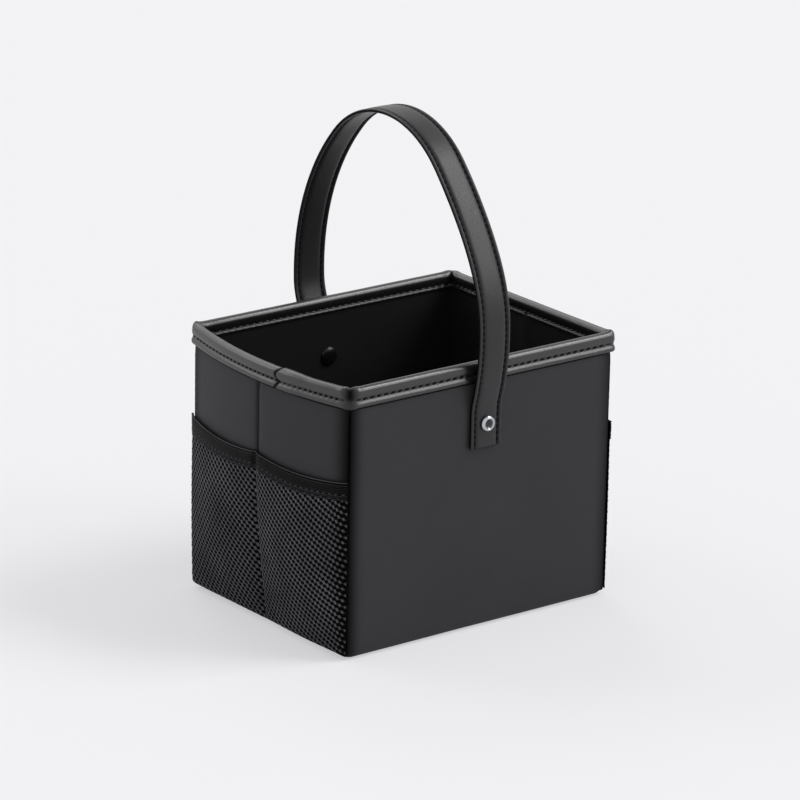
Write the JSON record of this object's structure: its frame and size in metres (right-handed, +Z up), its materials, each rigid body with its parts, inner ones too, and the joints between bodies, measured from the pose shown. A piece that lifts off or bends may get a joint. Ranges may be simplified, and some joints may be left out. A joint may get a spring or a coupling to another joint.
{
  "type": "car storage box",
  "caption": "Open-topped rectangular storage box of padded leatherette with a stitched rim, mesh side pockets and one swinging riveted strap handle.",
  "frame": {"origin": "centre of the base, on the surface that the box stands on", "axes": "+Z up; -Y is the front wall with the strap's front rivet; +X is the box's right-hand side"},
  "size_m": [0.2106, 0.172, 0.2949],
  "materials": {
    "leatherette": "fine-grained satin leatherette",
    "binding_leatherette": "smooth satin leatherette strip",
    "strap_leatherette": "fine-grained satin leatherette",
    "strap_filler": "soft filler",
    "stiffener_board": "grey board",
    "lining_cloth": "matte woven cloth",
    "pocket_mesh": "knitted mesh",
    "elastic_band": "ribbed elastic",
    "chrome_rivet": "polished",
    "black_rivet_cap": "black enamel"
  },
  "bodies": {
    "box": {"outer_wrap": "leatherette", "left_side_panel": "leatherette", "right_side_panel": "leatherette", "front_board": "stiffener_board", "back_board": "stiffener_board", "left_front_board": "stiffener_board", "left_rear_board": "stiffener_board", "right_front_board": "stiffener_board", "right_rear_board": "stiffener_board", "lining": "lining_cloth", "base_insert": "lining_cloth", "rim_binding": "binding_leatherette", "left_pocket_mesh": "pocket_mesh", "left_pocket_band": "elastic_band", "right_pocket_mesh": "pocket_mesh", "right_pocket_band": "elastic_band", "front_rivet": "chrome_rivet", "back_rivet": "chrome_rivet", "front_rivet_cap": "black_rivet_cap", "back_rivet_cap": "black_rivet_cap"},
    "handle": {"handle_outer_layer": "strap_leatherette", "handle_filler": "strap_filler", "handle_inner_layer": "strap_leatherette"}
  },
  "joints": [
    {"name": "handle_swing", "type": "hinge", "parent": "box", "child": "handle", "pos_m": [0, 0, 0.127], "axis": [0, 1, 0], "range_deg": [-55, 55]}
  ]
}
